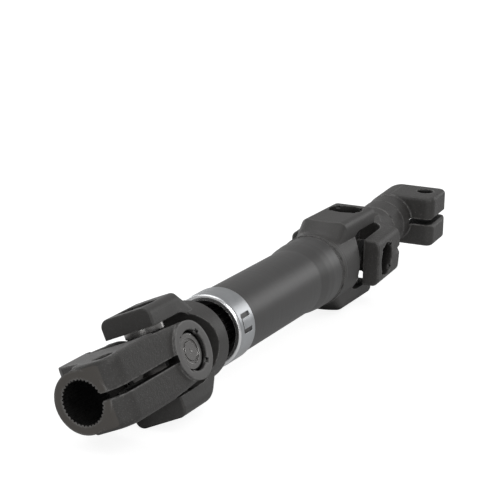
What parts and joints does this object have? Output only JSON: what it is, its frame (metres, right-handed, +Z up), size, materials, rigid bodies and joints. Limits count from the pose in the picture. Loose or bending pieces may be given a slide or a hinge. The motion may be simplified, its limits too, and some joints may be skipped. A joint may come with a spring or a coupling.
{
  "type": "intermediate steering shaft",
  "caption": "Telescopic steering shaft: tube with plated end collar, universal joint at each end, forked forged yokes and split splined pinch clamps.",
  "frame": {"origin": "centre of the bounding box's bottom face, on the surface that the shaft lies on", "axes": "+X along the tube from the near clamp, beside the plated collar, to the far clamp; +Z up as it lies; +Y to the left of +X"},
  "size_m": [0.3598, 0.047, 0.0469],
  "materials": {
    "yoke_coat": "satin dark grey coating over forged steel",
    "tube_coat": "satin dark grey coating over drawn steel",
    "collar_zinc": "zinc plated, satin",
    "bearing_steel": "bright pressed steel",
    "roller_steel": "polished",
    "cross_steel": "ground and phosphated",
    "shaft_steel": "rolled teeth, greased",
    "bush_plastic": "moulded, matt",
    "seal_rubber": "matt"
  },
  "bodies": {
    "tube": {"outer_tube": "tube_coat", "end_collar": "collar_zinc", "wiper_seal": "seal_rubber", "slide_bush": "bush_plastic", "tube_yoke": "yoke_coat", "tube_yoke_cup_top": "bearing_steel", "tube_yoke_cup_bottom": "bearing_steel", "tube_yoke_rollers_top": "roller_steel", "tube_yoke_rollers_bottom": "roller_steel"},
    "shaft": {"inner_shaft": "shaft_steel", "shaft_yoke": "yoke_coat", "shaft_yoke_cup_top": "bearing_steel", "shaft_yoke_cup_bottom": "bearing_steel", "shaft_yoke_rollers_top": "roller_steel", "shaft_yoke_rollers_bottom": "roller_steel"},
    "near_spider": {"near_cross": "cross_steel", "near_seal_top": "seal_rubber", "near_seal_bottom": "seal_rubber", "near_seal_right": "seal_rubber", "near_seal_left": "seal_rubber"},
    "near_clamp": {"near_clamp_yoke": "yoke_coat", "near_clamp_cup_right": "bearing_steel", "near_clamp_cup_left": "bearing_steel", "near_clamp_rollers_right": "roller_steel", "near_clamp_rollers_left": "roller_steel"},
    "far_spider": {"far_cross": "cross_steel", "far_seal_top": "seal_rubber", "far_seal_bottom": "seal_rubber", "far_seal_right": "seal_rubber", "far_seal_left": "seal_rubber"},
    "far_clamp": {"far_clamp_yoke": "yoke_coat", "far_clamp_cup_right": "bearing_steel", "far_clamp_cup_left": "bearing_steel", "far_clamp_rollers_right": "roller_steel", "far_clamp_rollers_left": "roller_steel"}
  },
  "joints": [
    {"name": "telescope", "type": "slide", "parent": "tube", "child": "shaft", "axis": [1, 0, 0], "range_m": [-0.04, 0.012]},
    {"name": "near_swing", "type": "hinge", "parent": "shaft", "child": "near_spider", "pos_m": [-0.12736, -0.00057, 0.02347], "axis": [0, 0.4179, 0.9085], "range_deg": [-12.9, 27.1]},
    {"name": "near_tilt", "type": "hinge", "parent": "near_spider", "child": "near_clamp", "pos_m": [-0.12736, -0.00057, 0.02347], "axis": [0.1236, 0.9015, -0.4147], "range_deg": [-18.9, 21.1]},
    {"name": "far_swing", "type": "hinge", "parent": "tube", "child": "far_spider", "pos_m": [0.08634, -0.00057, 0.02347], "axis": [0, 0, 1], "range_deg": [-18, 18]},
    {"name": "far_tilt", "type": "hinge", "parent": "far_spider", "child": "far_clamp", "pos_m": [0.08634, -0.00057, 0.02347], "axis": [0, 1, 0], "range_deg": [-14.5, 21.5]}
  ]
}
